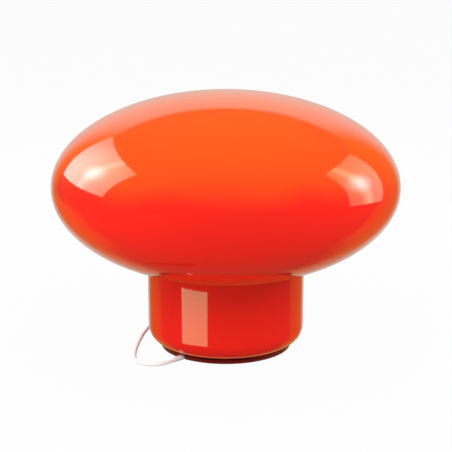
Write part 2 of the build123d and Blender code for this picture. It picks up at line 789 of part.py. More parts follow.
def terminal_blocks():
    half = TERMINAL_SIZE / 2
    blocks = []
    for side in (-1, 1):
        x = side * TERMINAL_X
        shape = block(x - half, x + half, -half, half, LEDGE_Z - TERMINAL_H, LEDGE_Z)
        shape -= Pos(x, 0, LEDGE_Z) * Cylinder(TERMINAL_SCREW_R, TERMINAL_H)
        blocks.append(aimed(shape))
    return group(blocks)


def terminal_screws():
    """From the insert's top down into each block."""
    length = INSERT_T + TERMINAL_H / 2
    screws = []
    for side in (-1, 1):
        shape = disc(TERMINAL_SCREW_R - THREAD_GAP, INSERT_TOP_Z - length, length - 0.5)
        screws.append(aimed(Pos(side * TERMINAL_X, 0, 0) * shape))
    return group(screws)


# Bulb


def bulb_shoulder_z():
    """Height where the neck's straight side gives way to the hollow shoulder."""
    reach = BULB_R + BULB_SHOULDER_R
    across = BULB_NECK_R + BULB_SHOULDER_R
    return BULB_MID_Z - sqrt(reach**2 - across**2)


def cap_ridge_z():
    """Where the cap's ridges start, above its insulator."""
    return TIP_Z + TIP_H + TIP_INSULATOR_H


def bulb_neck_end_z():
    """The glass ends just above the ridges, inside the cap's plain collar."""
    return cap_ridge_z() + CAP_TURNS * CAP_PITCH + CAP_T


def bulb_glass():
    """Globe, hollow shoulder and neck, each skin tangent along its length."""
    base = bulb_neck_end_z()
    shoulder = bulb_shoulder_z()

    def skin(inset):
        globe = BULB_R - inset
        neck = BULB_NECK_R - inset
        hollow = BULB_SHOULDER_R + inset
        centre_x = BULB_NECK_R + BULB_SHOULDER_R
        share = hollow / (globe + hollow)
        join = (centre_x * (1 - share), 0, shoulder + (BULB_MID_Z - shoulder) * share)
        line_up = Line((neck, 0, base), (neck, 0, shoulder))
        half_angle = atan2(join[2] - shoulder, centre_x - join[0]) / 2
        middle = (centre_x - hollow * cos(half_angle), 0, shoulder + hollow * sin(half_angle))
        shoulder_arc = ThreePointArc((neck, 0, shoulder), middle, join)
        globe_arc = ThreePointArc(join, (globe, 0, BULB_MID_Z), (0, 0, BULB_MID_Z + globe))
        return [line_up, shoulder_arc, globe_arc]

    outer = skin(0)
    inner = skin(BULB_WALL)
    low = Line((BULB_NECK_R - BULB_WALL, 0, base), (BULB_NECK_R, 0, base))
    top_z = BULB_MID_Z + BULB_R
    top = Line((0, 0, top_z), (0, 0, top_z - BULB_WALL))
    return turned(low, *outer, top, *inner)


def bulb_cap():
    """Thin shell rolled with ridges. Its plain collar is glued over the neck of the glass."""
    z0 = cap_ridge_z()
    top = TIP_Z + CAP_L
    collar = z0 + CAP_TURNS * CAP_PITCH
    seat = bulb_neck_end_z()
    corners = [(CAP_ROOT_R, z0)]
    for i in range(CAP_TURNS):
        low = z0 + i * CAP_PITCH
        corners.append((CAP_R, low + CAP_PITCH * 0.35))
        corners.append((CAP_R, low + CAP_PITCH * 0.65))
        corners.append((CAP_ROOT_R, low + CAP_PITCH))
    corners.append((BULB_NECK_R + CAP_T, collar + CAP_T / 2))
    corners.append((BULB_NECK_R + CAP_T, top))
    corners.append((BULB_NECK_R, top))
    corners.append((BULB_NECK_R, seat))
    corners.append((CAP_ROOT_R - CAP_T, seat))
    corners.append((CAP_ROOT_R - CAP_T, z0))
    return rings(*corners)


def bulb_insulator():
    z0 = TIP_Z + TIP_H
    return rings(
        (0, z0),
        (TIP_R + TIP_INSULATOR_W, z0),
        (CAP_ROOT_R - 0.4, z0 + TIP_INSULATOR_H),
        (0, z0 + TIP_INSULATOR_H),
    )


def bulb_contact():
    return disc(TIP_R, TIP_Z, TIP_H)


def mount_top_z():
    return BULB_MID_Z - BULB_R * MOUNT_DROP


def bulb_stem():
    """Glass mount sealed into the neck: a flare, a rod and a button that holds the supports."""
    flare_r = BULB_NECK_R - BULB_WALL
    z0 = bulb_neck_end_z()
    top = mount_top_z()
    return rings(
        (0, z0),
        (flare_r, z0),
        (flare_r, z0 + MOUNT_FLARE_T),
        (MOUNT_FLARE_R, z0 + MOUNT_FLARE_H),
        (MOUNT_R, z0 + MOUNT_ROD_Z),
        (MOUNT_R, top - 2 * MOUNT_BUTTON_H),
        (MOUNT_BUTTON_R, top - MOUNT_BUTTON_H),
        (MOUNT_BUTTON_R, top),
        (0, top),
    )


def bulb_filament():
    """Two supports out of the button, and the filament's arch between their tips."""
    top = mount_top_z()
    root = SUPPORT_PITCH / 2
    half = FILAMENT_SPAN / 2
    tip = BULB_MID_Z + FILAMENT_RISE
    path = FilletPolyline(
        (-root, 0, top),
        (-MOUNT_R, 0, top + SUPPORT_L),
        (-half, 0, tip),
        (0, 0, tip + FILAMENT_ARCH),
        (half, 0, tip),
        (MOUNT_R, 0, top + SUPPORT_L),
        (root, 0, top),
        radius=FILAMENT_BEND_R,
    )
    return aimed(tube("bulb_filament", path, FILAMENT_D))


# Strain relief and the free flex


def relief_section(width, height, y):
    """Flat-bottomed oblong that rests on the floor."""
    shape = RectangleRounded(width, height, height * RELIEF_CORNER)
    return Plane(origin=(0, y, height / 2), x_dir=(1, 0, 0), z_dir=(0, -1, 0)) * shape


def strain_relief():
    inner = -PAN_R + RELIEF_INNER_L
    rim = -PAN_R - RELIEF_STRAIGHT
    tip = -PAN_R - RELIEF_OUTER_L
    body = loft(
        [relief_section(RELIEF_W, RELIEF_H, inner), relief_section(RELIEF_W, RELIEF_H, rim)]
    )
    taper = loft(
        [relief_section(RELIEF_W, RELIEF_H, rim), relief_section(RELIEF_TIP_W, RELIEF_TIP_H, tip)]
    )
    return aimed(body + taper)


def cord_run():
    """From the strain relief round the left of the pan to the switch behind the neck."""
    start_y = -PAN_R - RELIEF_OUTER_L
    entry_x = SWITCH_X - SWITCH_L / 2
    points = [
        aimed_point(0, start_y, CORD_Z),
        aimed_point(0, start_y - RUN_LEAD, CORD_Z),
        (-92.9, -93.0, CORD_Z),
        (-107.9, -87.2, CORD_Z),
        (-117.2, -73.0, CORD_Z),
        (-118.4, -44.0, CORD_Z),
        (-117.0, -9.0, CORD_Z),
        (-113.0, 26.0, CORD_Z),
        (-107.0, 58.0, CORD_Z),
        (-99.0, 88.0, CORD_Z),
        (-88.0, 110.0, CORD_Z),
        (entry_x - ENTRY_LEAD, SWITCH_Y, SWITCH_CORD_Z),
        (entry_x, SWITCH_Y, SWITCH_CORD_Z),
    ]
    return routed_tube("cord_run", points, CORD_D)


def coil_outer_r():
    return COIL_INNER_R + COIL_TURNS * COIL_PITCH


def coil_place(angle):
    """Place and heading on the coil's centre line. It winds in on the floor, climbs one layer in
    the half turn where the spiral reverses, and winds out again on top of itself."""
    slope = COIL_PITCH / (2 * pi)
    inward = 2 * pi * COIL_TURNS
    if angle <= inward:
        radius = coil_outer_r() - slope * angle
        steer = -slope
        height = 0.0
        climb = 0.0
    elif angle <= inward + pi:
        s = angle - inward
        radius = COIL_INNER_R - slope * (s - s * s / pi)
        steer = -slope * (1 - 2 * s / pi)
        height = COIL_PITCH * (3 * (s / pi) ** 2 - 2 * (s / pi) ** 3)
        climb = COIL_PITCH * 6 * (s / pi) * (1 - s / pi) / pi
    else:
        radius = COIL_INNER_R + slope * (angle - inward - pi)
        steer = slope
        height = COIL_PITCH
        climb = 0.0
    around = angle - pi / 2
    place = Vector(
        COIL_X + radius * cos(around), COIL_Y + radius * sin(around), CORD_Z + height
    )
    heading = Vector(
        steer * cos(around) - radius * sin(around),
        steer * sin(around) + radius * cos(around),
        climb,
    )
    return place, heading.normalized()


def coil_path():
    whole = 2 * pi * COIL_TURNS * 2 + pi
    steps = ceil(whole / (pi / 2) - 0.01)
    stations = [coil_place(whole * i / steps) for i in range(steps + 1)]
    first, heading = stations[0]
    edges = [Line(first - heading * CORD_D, first)]
    for (p0, t0), (p1, t1) in zip(stations, stations[1:]):
        edges.extend(biarc(p0, t0, p1, t1))
    last, heading = stations[-1]
    edges.append(Line(last, last + heading * CORD_D))
    return edges


def least_gap(edges):
    """Least free space between the tube and itself, from places along its centre line."""
    places = []
    for edge in edges:
        count = max(2, ceil(edge.length / 1.5))
        places.extend(edge @ (i / count) for i in range(count))
    spacing = sum(e.length for e in edges) / len(places)
    apart = ceil(4 * CORD_D / spacing)
    least = min(
        (places[i] - places[j]).length
        for i in range(len(places))
        for j in range(i + apart, len(places))
    )
    return least - CORD_D


def cord_coil():
    edges = coil_path()
    print(f"cord_coil: least gap to itself {least_gap(edges):.2f}")
    return tube("cord_coil", Wire(edges), CORD_D)


def coil_ends():
    """Faces of the coil's two straight ends, each with the heading of the flex there."""
    whole = 2 * pi * COIL_TURNS * 2 + pi
    first, heading_in = coil_place(0)
    last, heading_out = coil_place(whole)
    return first - heading_in * CORD_D, heading_in, last + heading_out * CORD_D, heading_out


def cord_link():
    """From the switch down to the floor and into the coil."""
    exit_x = SWITCH_X + SWITCH_L / 2
    end, heading, _, _ = coil_ends()
    lead = end - heading * LINK_LEAD
    points = [
        (exit_x, SWITCH_Y, SWITCH_CORD_Z),
        (exit_x + LINK_LEAD, SWITCH_Y, SWITCH_CORD_Z),
        (lead.X, lead.Y, lead.Z),
        (end.X, end.Y, end.Z),
    ]
    return routed_tube("cord_link", points, CORD_D)


def cord_tail():
    """From the top of the coil down to the floor and up into the plug's boot."""
    _, _, start, heading = coil_ends()
    lead = start + heading * TAIL_LEAD
    plug_z = PLUG_T / 2
    points = [
        (start.X, start.Y, start.Z),
        (lead.X, lead.Y, lead.Z),
        (lead.X - TAIL_LEAD, TAIL_BEND_Y, CORD_Z),
        (PLUG_X + PLUG_BOOT_L + ENTRY_LEAD, PLUG_Y, plug_z),
        (PLUG_X + PLUG_BOOT_L, PLUG_Y, plug_z),
    ]
    return routed_tube("cord_tail", points, CORD_D)


# Switch


def switch_place(shape):
    return Pos(SWITCH_X, SWITCH_Y, 0) * shape


def switch_outline(inset):
    return RectangleRounded(SWITCH_L - 2 * inset, SWITCH_W - 2 * inset, SWITCH_ROUND_R - inset)


def switch_screw_spots():
    return [(-SWITCH_SCREW_X, 0), (SWITCH_SCREW_X, 0)]


def switch_base():
    """Lower half of the case, with a post for each screw."""
    body = extrude(switch_outline(0), SWITCH_SPLIT)
    body = fillet(body.faces().sort_by(Axis.Z)[0].edges(), SWITCH_LOW_R)
    body -= Pos(0, 0, SWITCH_WALL) * extrude(switch_outline(SWITCH_WALL), SWITCH_SPLIT)
    posts = pillars(switch_screw_spots(), SWITCH_SCREW_R + POST_WALL, POST_TOP, SWITCH_SPLIT)
    body = body + posts
    body -= through_holes(switch_screw_spots(), SWITCH_SCREW_R, 0, SWITCH_SPLIT)
    body -= pillars(switch_screw_spots(), 2 * SWITCH_SCREW_R, -1.0, SCREW_SINK)
    return switch_place(body)


def pivot_bar():
    """The rocker's pin, from the outer face of one rib to that of the other."""
    length = ROCKER_W + 2 * ROCKER_GAP + 2 * RIB_W
    return Pos(0, 0, PIVOT_Z) * Rot(90, 0, 0) * Cylinder(PIVOT_R, length)


def switch_cover():
    """Upper half of the case, with the rocker's window and two ribs that hold its pin."""
    height = SWITCH_H - SWITCH_SPLIT
    body = Pos(0, 0, SWITCH_SPLIT) * extrude(switch_outline(0), height)
    body = fillet(body.faces().sort_by(Axis.Z)[-1].edges(), SWITCH_TOP_R)
    inner = extrude(switch_outline(SWITCH_WALL), height - SWITCH_WALL)
    body -= Pos(0, 0, SWITCH_SPLIT) * inner
    half_l = ROCKER_L / 2 + ROCKER_GAP
    half_w = ROCKER_W / 2 + ROCKER_GAP
    rib = block(
        -RIB_L / 2, RIB_L / 2, half_w, half_w + RIB_W, PIVOT_Z - RIB_LOW, SWITCH_H - RIB_TOP
    )
    body = body + [rib, Rot(0, 0, 180) * rib]
    body -= block(-half_l, half_l, -half_w, half_w, SWITCH_SPLIT, SWITCH_H + 1)
    body -= pivot_bar()
    post_r = SWITCH_SCREW_R + POST_WALL
    body = body + pillars(switch_screw_spots(), post_r, SWITCH_SPLIT, SWITCH_H - POST_TOP)
    hole_top = SWITCH_H - SCREW_HOLE_TOP
    body -= pillars(switch_screw_spots(), SWITCH_SCREW_R, SWITCH_SPLIT - 1, hole_top)
    return switch_place(body)


def switch_pin():
    return switch_place(pivot_bar())


def switch_rocker():
    """Curved key on its pin, tilted to its off side."""
    half = ROCKER_L / 2
    top = SWITCH_H + ROCKER_RISE
    low = PIVOT_Z - ROCKER_DEPTH / 2
    low_x = half - ROCKER_FOOT_IN
    mid_x = half - ROCKER_SIDE_IN
    top_x = half - ROCKER_TOP_IN
    side = [
        Polyline(
            (-top_x, 0, top), (-mid_x, 0, PIVOT_Z), (-low_x, 0, low),
            (low_x, 0, low), (mid_x, 0, PIVOT_Z), (top_x, 0, top),
        ),
        ThreePointArc((top_x, 0, top), (0, 0, top - ROCKER_DISH), (-top_x, 0, top)),
    ]
    body = extrude(make_face(Curve() + side), ROCKER_W / 2, both=True)
    body -= Pos(0, 0, PIVOT_Z) * Rot(90, 0, 0) * Cylinder(PIVOT_R + PIVOT_GAP, 2 * ROCKER_W)
    level = Pos(0, 0, -PIVOT_Z) * body
    return switch_place(Pos(0, 0, PIVOT_Z) * Rot(0, -ROCKER_TILT, 0) * level)


def switch_contacts():
    """Two brass strips on the floor of the case, under the rocker's ends."""
    half = STRIP_W / 2
    post = STRIP_POST_X - STRIP_POST_L / 2
    z0 = SWITCH_WALL
    strip = block(STRIP_NEAR_X, STRIP_FAR_X, -half, half, z0, z0 + STRIP_T)
    strip += block(post, post + STRIP_POST_L, -half, half, z0, z0 + STRIP_POST_H)
    return group(switch_place(Rot(0, 0, turn) * strip) for turn in (180, 0))


def switch_screws():
    screws = []
    for x, y in switch_screw_spots():
        shank = disc(SWITCH_SCREW_R - THREAD_GAP, SCREW_SINK, SWITCH_H - SCREW_SHORT)
        head = disc(2 * SWITCH_SCREW_R - HOLE_GAP, SCREW_HEAD_Z, SCREW_HEAD_H)
        screws.append(switch_place(Pos(x, y, 0) * (shank + head)))
    return group(screws)


# Plug


def plug_boot():
    """Tapered sleeve with its wide end on the plug's back."""
    start = PLUG_X + PLUG_BOOT_L
    z = PLUG_T / 2
    plane_tip = Plane(origin=(start, PLUG_Y, z), z_dir=(-1, 0, 0))
    plane_end = Plane(origin=(PLUG_X, PLUG_Y, z), z_dir=(-1, 0, 0))
    return loft([plane_tip * Circle(PLUG_BOOT_TIP_D / 2), plane_end * Circle(PLUG_BOOT_D / 2)])


def plug_body():
    """Flat body, narrow where it is gripped and wide at its face."""
    face_x = PLUG_X - PLUG_L
    half_w = PLUG_W / 2
    half_waist = PLUG_WAIST / 2
    outline = Polyline(
        (PLUG_X, PLUG_Y - half_waist),
        (PLUG_X - PLUG_L * PLUG_WAIST_L, PLUG_Y - half_waist),
        (face_x + PLUG_L * PLUG_FACE_L, PLUG_Y - half_w),
        (face_x, PLUG_Y - half_w),
        (face_x, PLUG_Y + half_w),
        (face_x + PLUG_L * PLUG_FACE_L, PLUG_Y + half_w),
        (PLUG_X - PLUG_L * PLUG_WAIST_L, PLUG_Y + half_waist),
        (PLUG_X, PLUG_Y + half_waist),
        close=True,
    )
    body = extrude(make_face(outline), PLUG_T)
    body = fillet(body.edges().filter_by(Axis.Z), PLUG_SIDE_R)
    flat = body.edges().group_by(Axis.Z)[-1] + body.edges().group_by(Axis.Z)[0]
    body = fillet(flat, PLUG_FLAT_R)
    z = PLUG_T / 2
    for y in pin_ys():
        body -= round_bar((face_x - 1, y, z), (face_x + PIN_ROOT_L, y, z), PIN_ROOT_R)
    return body


def pin_ys():
    return [PLUG_Y - PIN_SPACING / 2, PLUG_Y + PIN_SPACING / 2]


def plug_pins():
    """Round pins with a bevel at their tips, on thinner roots that the body is moulded round."""
    face_x = PLUG_X - PLUG_L
    z = PLUG_T / 2
    pins = []
    for y in pin_ys():
        step_x = face_x - PIN_ROOT_OUT
        pin = round_bar((step_x, y, z), (face_x - PIN_L, y, z), PIN_R)
        tip = pin.edges().filter_by(GeomType.CIRCLE).group_by(Axis.X)[0]
        root = round_bar((face_x + PIN_ROOT_L, y, z), (step_x - PIN_BEVEL, y, z), PIN_ROOT_R)
        pins.append(chamfer(tip, PIN_BEVEL) + root)
    return group(pins)


PIECES = [
    felt_pad, ballast_plate, base_disc, shade_gasket, glass_clips, clip_rivets,
    holder_bracket, bracket_screws, bracket_nuts, stem_tube, stem_nuts, stem_washers,
    cord_clamp, clamp_screws, inner_cord, wire_live, wire_neutral,
    holder_cap, holder_insert, holder_shell, screw_shell, centre_contact,
    terminal_blocks, terminal_screws,
    bulb_glass, bulb_cap, bulb_insulator, bulb_contact, bulb_stem, bulb_filament,
    glass_shade,
    strain_relief, cord_run, cord_link, cord_coil, cord_tail,
    switch_base, switch_cover, switch_pin, switch_rocker, switch_contacts, switch_screws,
    plug_boot, plug_body, plug_pins,
]

os.makedirs("parts", exist_ok=True)
for piece in PIECES:
    export_step(piece(), f"parts/{piece.__name__}.step")
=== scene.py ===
import bpy
import numpy as np
from math import cos, pi, radians, sin, sqrt
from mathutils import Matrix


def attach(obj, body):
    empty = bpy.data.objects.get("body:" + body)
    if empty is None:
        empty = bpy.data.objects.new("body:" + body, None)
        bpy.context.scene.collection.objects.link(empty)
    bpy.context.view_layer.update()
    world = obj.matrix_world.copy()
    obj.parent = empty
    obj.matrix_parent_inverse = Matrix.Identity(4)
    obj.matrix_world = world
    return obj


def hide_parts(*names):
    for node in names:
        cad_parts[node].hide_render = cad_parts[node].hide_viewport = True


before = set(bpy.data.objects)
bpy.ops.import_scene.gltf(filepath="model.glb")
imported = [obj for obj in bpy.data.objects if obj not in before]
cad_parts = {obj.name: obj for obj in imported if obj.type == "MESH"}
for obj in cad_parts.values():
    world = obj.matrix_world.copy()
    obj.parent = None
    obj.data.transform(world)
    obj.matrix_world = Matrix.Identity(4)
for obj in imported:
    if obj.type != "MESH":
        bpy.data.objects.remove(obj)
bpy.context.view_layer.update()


# Camera. It stands straight in front of the lamp and a little over the shade, and looks down at
# the middle of the lamp through a long lens.

camera_back = 1.5
camera_height = 0.521
camera_down = 13.52
camera_right = 0.0003
camera = bpy.data.objects.new("camera", bpy.data.cameras.new("camera"))
camera.location = (camera_right, -camera_back, camera_height)
camera.rotation_euler = (radians(90 - camera_down), 0, 0)
camera.data.sensor_width = 36.0
camera.data.lens = 93.8
camera.data.clip_end = 100.0
bpy.context.scene.collection.objects.link(camera)
bpy.context.scene.camera = camera


# Short forms for the nodes that the materials share, and the finish that most pieces have.

grain_per_cell = 12


def ranged(nodes, links, source, bottom, top, low, high):
    """Value that goes smoothly from low to high while source goes from bottom to top."""
    step = nodes.new("ShaderNodeMapRange")
    step.interpolation_type = "SMOOTHSTEP"
    step.inputs["From Min"].default_value = bottom
    step.inputs["From Max"].default_value = top
    step.inputs["To Min"].default_value = low
    step.inputs["To Max"].default_value = high
    links.new(source, step.inputs["Value"])
    return step.outputs["Result"]


def combined(nodes, links, operation, first, second):
    """Sum, product or other combination of two values."""
    result = nodes.new("ShaderNodeMath")
    result.operation = operation
    for value, socket in ((first, result.inputs[0]), (second, result.inputs[1])):
        if isinstance(value, float):
            socket.default_value = value
        else:
            links.new(value, socket)
    return result.outputs["Value"]


def colour_mix(nodes, links, first, second, share):
    """Colour that goes from the first to the second while the share goes from nought to one."""
    mix = nodes.new("ShaderNodeMix")
    mix.data_type = "RGBA"
    for value, socket in ((first, mix.inputs["A"]), (second, mix.inputs["B"])):
        if isinstance(value, tuple):
            socket.default_value = (*value, 1.0)
        else:
            links.new(value, socket)
    links.new(share, mix.inputs["Factor"])
    return mix.outputs["Result"]


def soft_finish(name, light, dark, cells, roughness, relief, coat=0.0):
    """A moulded, drawn or pressed finish. Its colour goes from dark to light, and its roughness by
    a fifth, with a noise of that many cells per metre. A finer noise lifts it by relief metres."""
    material = bpy.data.materials.new(name)
    material.use_nodes = True
    nodes, links = material.node_tree.nodes, material.node_tree.links
    shader = nodes["Principled BSDF"]
    shader.inputs["Coat Weight"].default_value = coat
    place = nodes.new("ShaderNodeTexCoord")
    drift = nodes.new("ShaderNodeTexNoise")
    drift.inputs["Scale"].default_value = cells
    drift.inputs["Detail"].default_value = 4.0
    tone = colour_mix(nodes, links, dark, light, drift.outputs["Fac"])
    rough = nodes.new("ShaderNodeMapRange")
    rough.inputs["To Min"].default_value = roughness * 0.8
    rough.inputs["To Max"].default_value = roughness * 1.2
    grain = nodes.new("ShaderNodeTexNoise")
    grain.inputs["Scale"].default_value = cells * grain_per_cell
    grain.inputs["Detail"].default_value = 3.0
    bump = nodes.new("ShaderNodeBump")
    bump.inputs["Distance"].default_value = relief
    links.new(place.outputs["Object"], drift.inputs["Vector"])
    links.new(place.outputs["Object"], grain.inputs["Vector"])
    links.new(drift.outputs["Fac"], rough.inputs["Value"])
    links.new(grain.outputs["Fac"], bump.inputs["Height"])
    links.new(tone, shader.inputs["Base Color"])
    links.new(rough.outputs["Result"], shader.inputs["Roughness"])
    links.new(bump.outputs["Normal"], shader.inputs["Normal"])
    return material


# Flex from the lamp to its switch: round mains flex with a white PVC sheath. It leaves the pan at
# the front left, runs round the left of the lamp on the floor, and rises into the switch.

flex_across = 0.0044
flex_rest = flex_across / 2
flex_leaves = (-0.0669, -0.0770, flex_rest)
switch_middle = (-0.0220, 0.1232)
switch_length = 0.060
switch_flex_height = 0.006


def laid_flex(name, points, material):
    """A round flex along one smooth curve, a NURBS spline of order 3 whose control points are the
    route's points. It is half the flex's diameter thick round that line, with closed ends."""
    line = bpy.data.curves.new(name, "CURVE")
    line.dimensions = "3D"
    line.bevel_depth = flex_rest
    line.bevel_resolution = 5
    line.resolution_u = 6
    line.use_fill_caps = True
    spline = line.splines.new("NURBS")
    spline.points.add(len(points) - 1)
    places = np.column_stack([np.array(points, float), np.ones(len(points))])
    spline.points.foreach_set("co", places.ravel())
    spline.order_u = 3
    spline.use_endpoint_u = True
    line.materials.append(material)
    flex = bpy.data.objects.new(name, line)
    flex.visible_glossy = False
    bpy.context.scene.collection.objects.link(flex)
    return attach(flex, "base")


white_sheath = soft_finish(
    "white_pvc_sheath", (0.93, 0.96, 0.955), (0.90, 0.93, 0.92), 60.0, 0.50, 0.00004
)
run_points = [
    flex_leaves,
    (-0.0774, -0.0891, flex_rest),
    (-0.0929, -0.0930, flex_rest),
    (-0.1079, -0.0872, flex_rest),
    (-0.1172, -0.0730, flex_rest),
    (-0.1184, -0.0440, flex_rest),
    (-0.1170, -0.0090, flex_rest),
    (-0.1130, 0.0260, flex_rest),
    (-0.1070, 0.0580, flex_rest),
    (-0.0990, 0.0880, flex_rest),
    (-0.0880, 0.1100, flex_rest),
    (-0.0720, 0.1232, switch_flex_height),
    (-0.0520, 0.1232, switch_flex_height),
]
run_flex = laid_flex("flex_to_switch", run_points, white_sheath)
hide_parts("cord_run")


# Flex from the switch to the plug. Most of it is put away behind the lamp as a neat round coil of
# two layers, which winds in on the floor and out again on top of itself.

coil_middle = np.array([0.058, 0.160])
coil_inner = 0.0164
coil_turns = 4
coil_pitch = 0.0050
coil_steps = 24
coil_inside = 0.9915
plug_entry = (-0.032, 0.190, 0.007)


def coil_points():
    """Control points of the coil, a spiral whose radius falls by one pitch a turn on the floor and
    grows again on the upper layer, with a half turn between them in which it climbs. They stand
    out a little, because the curve passes inside them, at the share coil_inside of their radius."""
    inward = 2 * pi * coil_turns
    whole = 2 * inward + pi
    angle = np.linspace(0, whole, round(whole / (2 * pi / coil_steps)) + 1)
    slope = coil_pitch / (2 * pi)
    half = np.clip(angle - inward, 0, pi)
    back = np.clip(angle - inward - pi, 0, None)
    radius = coil_inner + slope * np.clip(inward - angle, 0, None)
    radius += slope * (half * half / pi - half) + slope * back
    height = flex_rest + coil_pitch * (3 * (half / pi) ** 2 - 2 * (half / pi) ** 3)
    radius /= coil_inside
    around = angle - pi / 2
    return np.column_stack([
        coil_middle[0] + radius * np.cos(around), coil_middle[1] + radius * np.sin(around), height
    ])


turns = coil_points()
coil_outer = coil_inner + coil_turns * coil_pitch
lead_in = coil_middle + (0, -coil_outer)
lead_out = coil_middle + (0, coil_outer)
upper_layer = flex_rest + coil_pitch
switch_exit = (switch_middle[0] + switch_length / 2, switch_middle[1], switch_flex_height)
link_points = [
    switch_exit,
    (switch_exit[0] + 0.014, switch_exit[1], switch_flex_height),
    (lead_in[0] - 0.0184, lead_in[1] + 0.0004, flex_rest),
    (lead_in[0] - 0.0044, lead_in[1] + 0.0001, flex_rest),
]
tail_points = [
    (lead_out[0] - 0.0044, lead_out[1] + 0.0001, upper_layer),
    (lead_out[0] - 0.0264, lead_out[1] + 0.0005, upper_layer),
    (lead_out[0] - 0.0484, 0.194, flex_rest),
    (plug_entry[0] + 0.020, plug_entry[1], plug_entry[2]),
    plug_entry,
]
plug_flex = laid_flex(
    "flex_to_plug", np.vstack([link_points, turns, tail_points]), white_sheath
)
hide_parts("cord_link", "cord_coil", "cord_tail")


# Strain relief and plug: one soft PVC sleeve grips the flex where it leaves the pan, another where
# it enters the plug. The plug is moulded, and its two pins are turned and nickel washed.


def dress(material, *names):
    """Gives the solids of these names that finish, and nothing else."""
    for name in names:
        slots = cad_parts[name].data.materials
        slots.clear()
        slots.append(material)


def metal_finish(name, light, dark, cells, roughness, stretch=(1.0, 1.0, 1.0), relief=0.00001):
    """A bare or plated metal. Its tone and roughness follow a noise of that many cells per metre,
    drawn out along the axes whose stretch is small, as brushing or rolling leaves it."""
    material = soft_finish(name, light, dark, cells, roughness, relief)
    nodes, links = material.node_tree.nodes, material.node_tree.links
    nodes["Principled BSDF"].inputs["Metallic"].default_value = 1.0
    pull = nodes.new("ShaderNodeMapping")
    pull.inputs["Scale"].default_value = stretch
    links.new(nodes["Texture Coordinate"].outputs["Object"], pull.inputs["Vector"])
    for noise in ("Noise Texture", "Noise Texture.001"):
        links.new(pull.outputs["Vector"], nodes[noise].inputs["Vector"])
    return material


soft_white = soft_finish(
    "soft_white_pvc", (0.93, 0.96, 0.955), (0.90, 0.93, 0.92), 90.0, 0.48, 0.00003
)
moulded_white = soft_finish(
    "moulded_white", (0.84, 0.83, 0.80), (0.79, 0.78, 0.74), 70.0, 0.30, 0.00002
)
washed_pin = metal_finish(
    "nickel_washed_pin", (0.78, 0.72, 0.60), (0.66, 0.60, 0.47), 90.0, 0.24, (0.15, 1.0, 1.0)
)
dress(soft_white, "strain_relief", "plug_boot")
dress(moulded_white, "plug_body")
dress(washed_pin, "plug_pins")


# In-line switch: two moulded halves held by two screws, with a rocker that tilts on a steel pin
# over brass contacts.

rocker_white = soft_finish(
    "rocker_white", (0.88, 0.87, 0.85), (0.83, 0.82, 0.79), 90.0, 0.22, 0.00001
)
bare_brass = metal_finish("bare_brass", (0.74, 0.55, 0.26), (0.58, 0.41, 0.17), 120.0, 0.30)
zinc_plate = metal_finish("bright_zinc", (0.66, 0.66, 0.63), (0.50, 0.50, 0.48), 150.0, 0.32)
dress(moulded_white, "switch_base", "switch_cover")
dress(rocker_white, "switch_rocker")
dress(zinc_plate, "switch_pin", "switch_screws")
dress(bare_brass, "switch_contacts")


# Foot: a disc of wool felt under a steel weight, both inside a pressed steel pan with a maroon
# stoved lacquer. A clear soft ring on the pan keeps the glass off the steel.

wool_felt = soft_finish(
    "wool_felt", (0.14, 0.135, 0.13), (0.06, 0.058, 0.055), 420.0, 0.95, 0.00025
)
rolled_steel = metal_finish(
    "rolled_steel", (0.42, 0.42, 0.43), (0.27, 0.27, 0.28), 60.0, 0.45, (1.0, 0.1, 1.0)
)
maroon_lacquer = soft_finish(
    "maroon_stoved_lacquer", (0.175, 0.0050, 0.0035), (0.140, 0.0035, 0.0025), 45.0, 0.30,
    0.000015, coat=0.06,
)
maroon_lacquer.node_tree.nodes["Principled BSDF"].inputs["Specular IOR Level"].default_value = 0.3
clear_ring = soft_finish(
    "clear_silicone", (0.74, 0.72, 0.68), (0.64, 0.62, 0.58), 80.0, 0.40, 0.00002
)
dress(wool_felt, "felt_pad")
dress(rolled_steel, "ballast_plate")
dress(maroon_lacquer, "base_disc")
dress(clear_ring, "shade_gasket")


# Clips: three strips of spring steel, riveted to the pan, that spread inside the neck and keep
# the loose glass in the middle.

spring_steel = metal_finish(
    "spring_steel", (0.52, 0.53, 0.56), (0.36, 0.37, 0.40), 140.0, 0.28, (1.0, 1.0, 0.12)
)
dress(spring_steel, "glass_clips")
dress(rolled_steel, "clip_rivets")


# Bracket and stem: a bent strip screwed to the pan carries a hollow threaded brass tube between
# nuts. A saddle holds the flex down, and its two cores rise through the tube.

black_moulding = soft_finish(
    "black_moulding", (0.030, 0.029, 0.028), (0.016, 0.016, 0.016), 110.0, 0.28, 0.00001
)
brown_core = soft_finish(
    "brown_core", (0.20, 0.075, 0.030), (0.14, 0.050, 0.020), 150.0, 0.40, 0.00002
)
blue_core = soft_finish(
    "blue_core", (0.045, 0.14, 0.46), (0.030, 0.10, 0.36), 150.0, 0.40, 0.00002
)
dress(
    zinc_plate, "holder_bracket", "bracket_screws", "bracket_nuts", "stem_washers", "clamp_screws"
)
dress(bare_brass, "stem_tube", "stem_nuts")
dress(black_moulding, "cord_clamp")
dress(white_sheath, "inner_cord")
dress(brown_core, "wire_live")
dress(blue_core, "wire_neutral")


# Lampholder: a moulded cup on the stem, a glazed ceramic insert with brass terminals, centre
# contact and screw shell, and a moulded sleeve round them.

glazed_ceramic = soft_finish(
    "glazed_ceramic", (0.84, 0.83, 0.79), (0.77, 0.75, 0.70), 90.0, 0.14, 0.00002
)
dress(black_moulding, "holder_cap", "holder_shell")
dress(glazed_ceramic, "holder_insert")
dress(bare_brass, "screw_shell", "centre_contact", "terminal_blocks")
dress(zinc_plate, "terminal_screws")


# Bulb: an opal globe on a rolled aluminium screw cap, with black glass and a soldered tip under
# it, and a filament on its glass stem inside.

